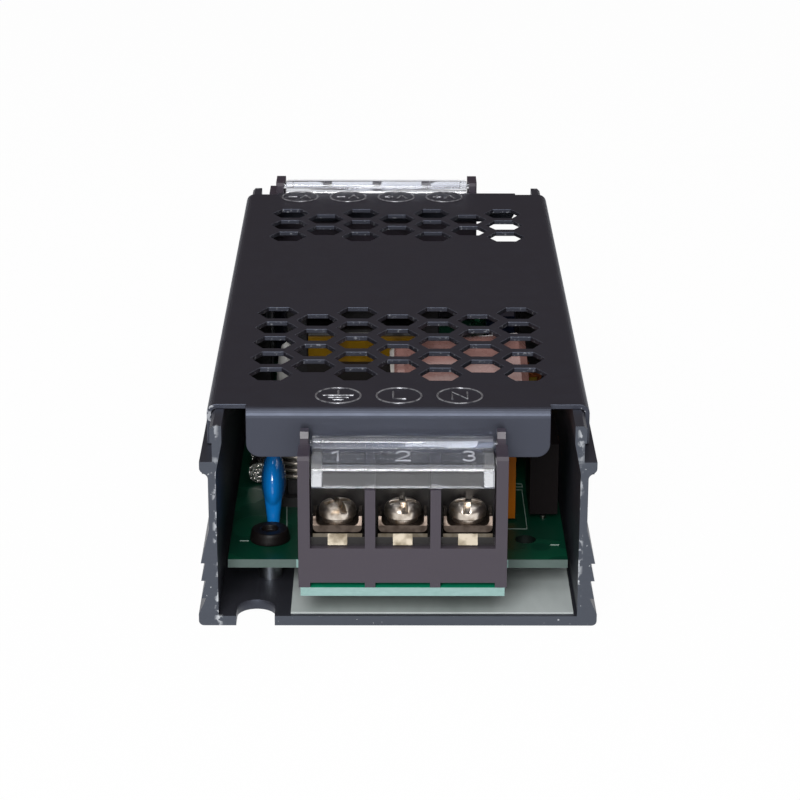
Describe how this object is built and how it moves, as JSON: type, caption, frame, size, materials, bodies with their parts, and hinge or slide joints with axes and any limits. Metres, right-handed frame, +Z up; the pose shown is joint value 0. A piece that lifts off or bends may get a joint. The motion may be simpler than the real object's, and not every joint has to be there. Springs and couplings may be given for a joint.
{
  "type": "switching power supply",
  "caption": "Enclosed mains power supply: ribbed channel chassis, vented folded cover, and a screw terminal block with a clear hinged cover at each end.",
  "frame": {"origin": "middle of the chassis underside", "axes": "+X to the right seen from the mains end, +Y from the mains end to the output end, +Z up through the cover"},
  "size_m": [0.062, 0.1424, 0.0357],
  "materials": {
    "anodised_aluminium": "black anodised, satin, bare and chipped along the cut edges",
    "black_sheet": "fine matte black coating, chipped at two corners",
    "white_sheet": "matte film",
    "board_green": "glossy green lacquer over copper tracks, pale cut edge",
    "post_metal": "turned",
    "rivet_nylon": "satin",
    "terminal_plastic": "satin moulded",
    "tinned_plate": "tin plated",
    "clamp_steel": "nickel plated, bright edges",
    "screw_steel": "nickel plated, slightly tarnished",
    "clear_plastic": "clear polished",
    "blue_coating": "glossy dipped coating",
    "amber_case": "semi-gloss moulded box",
    "varistor_coating": "dipped coating",
    "thermistor_coating": "dipped coating",
    "fuse_glass": "clear tube",
    "fuse_metal": "nickel plated",
    "black_moulding": "satin moulded",
    "ferrite": "matte sintered",
    "brown_wire": "enamelled turns",
    "can_sleeve": "shrink sleeve",
    "yellow_tape": "wrapped tape",
    "pad_silicone": "matte sheet",
    "spring_steel": "plain",
    "core_coating": "powder coated core",
    "copper_wire": "enamelled",
    "dark_sleeve": "shrink sleeve",
    "white_moulding": "satin",
    "resistor_coating": "lacquered",
    "lamp_green": "tinted clear",
    "trimmer_blue": "moulded"
  },
  "bodies": {
    "supply": {"chassis": "anodised_aluminium", "top_cover": "black_sheet", "insulating_sheet": "white_sheet", "circuit_board": "board_green", "board_standoffs": "post_metal", "board_rivets": "rivet_nylon", "ac_terminal_housing": "terminal_plastic", "ac_terminal_tabs": "tinned_plate", "dc_terminal_housing": "terminal_plastic", "dc_terminal_tabs": "tinned_plate", "safety_capacitor": "blue_coating", "line_capacitor": "amber_case", "varistor": "varistor_coating", "thermistor": "thermistor_coating", "fuse_tube": "fuse_glass", "fuse_caps": "fuse_metal", "choke_base": "black_moulding", "choke_core": "ferrite", "choke_windings": "brown_wire", "bridge_rectifier": "black_moulding", "bulk_capacitor": "can_sleeve", "transformer_core": "ferrite", "transformer_bobbin": "black_moulding", "transformer_winding": "yellow_tape", "switch_transistor": "black_moulding", "switch_pad": "pad_silicone", "switch_clip": "spring_steel", "output_rectifier": "black_moulding", "rectifier_pad": "pad_silicone", "rectifier_clip": "spring_steel", "output_choke_core": "core_coating", "output_choke_winding": "copper_wire", "output_capacitor_1": "dark_sleeve", "output_capacitor_2": "dark_sleeve", "output_capacitor_3": "dark_sleeve", "control_chip": "black_moulding", "optocoupler": "white_moulding", "resistors": "resistor_coating", "indicator_lamp": "lamp_green", "trimmer_body": "trimmer_blue"},
    "ac_cover": {"ac_terminal_cover": "clear_plastic"},
    "dc_cover": {"dc_terminal_cover": "clear_plastic"},
    "trimmer": {"trimmer_rotor": "white_moulding"},
    "ac_clamp_screw_1": {"ac_clamp_1": "clamp_steel", "ac_screw_1": "screw_steel"},
    "ac_clamp_screw_2": {"ac_clamp_2": "clamp_steel", "ac_screw_2": "screw_steel"},
    "ac_clamp_screw_3": {"ac_clamp_3": "clamp_steel", "ac_screw_3": "screw_steel"},
    "dc_clamp_screw_1": {"dc_clamp_1": "clamp_steel", "dc_screw_1": "screw_steel"},
    "dc_clamp_screw_2": {"dc_clamp_2": "clamp_steel", "dc_screw_2": "screw_steel"},
    "dc_clamp_screw_3": {"dc_clamp_3": "clamp_steel", "dc_screw_3": "screw_steel"},
    "dc_clamp_screw_4": {"dc_clamp_4": "clamp_steel", "dc_screw_4": "screw_steel"}
  },
  "joints": [
    {"name": "ac_cover_hinge", "type": "hinge", "parent": "supply", "child": "ac_cover", "pos_m": [0.0007, -0.06405, 0.029], "axis": [-1, 0, 0], "range_deg": [0, 95]},
    {"name": "dc_cover_hinge", "type": "hinge", "parent": "supply", "child": "dc_cover", "pos_m": [-0.004, 0.06405, 0.0347], "axis": [1, 0, 0], "range_deg": [0, 95]},
    {"name": "ac_screw_1_slide", "type": "slide", "parent": "supply", "child": "ac_clamp_screw_1", "axis": [0, 0, 1], "range_m": [-0.00045, 0.0016]},
    {"name": "ac_screw_2_slide", "type": "slide", "parent": "supply", "child": "ac_clamp_screw_2", "axis": [0, 0, 1], "range_m": [-0.00045, 0.0016]},
    {"name": "ac_screw_3_slide", "type": "slide", "parent": "supply", "child": "ac_clamp_screw_3", "axis": [0, 0, 1], "range_m": [-0.00045, 0.0016]},
    {"name": "dc_screw_1_slide", "type": "slide", "parent": "supply", "child": "dc_clamp_screw_1", "axis": [0, 0, 1], "range_m": [-0.00045, 0.0016]},
    {"name": "dc_screw_2_slide", "type": "slide", "parent": "supply", "child": "dc_clamp_screw_2", "axis": [0, 0, 1], "range_m": [-0.00045, 0.0016]},
    {"name": "dc_screw_3_slide", "type": "slide", "parent": "supply", "child": "dc_clamp_screw_3", "axis": [0, 0, 1], "range_m": [-0.00045, 0.0016]},
    {"name": "dc_screw_4_slide", "type": "slide", "parent": "supply", "child": "dc_clamp_screw_4", "axis": [0, 0, 1], "range_m": [-0.00045, 0.0016]},
    {"name": "trimmer_turn", "type": "hinge", "parent": "supply", "child": "trimmer", "pos_m": [0.0208, 0.0461, 0.0117], "axis": [0, 1, 0], "range_deg": [-135, 135]}
  ]
}
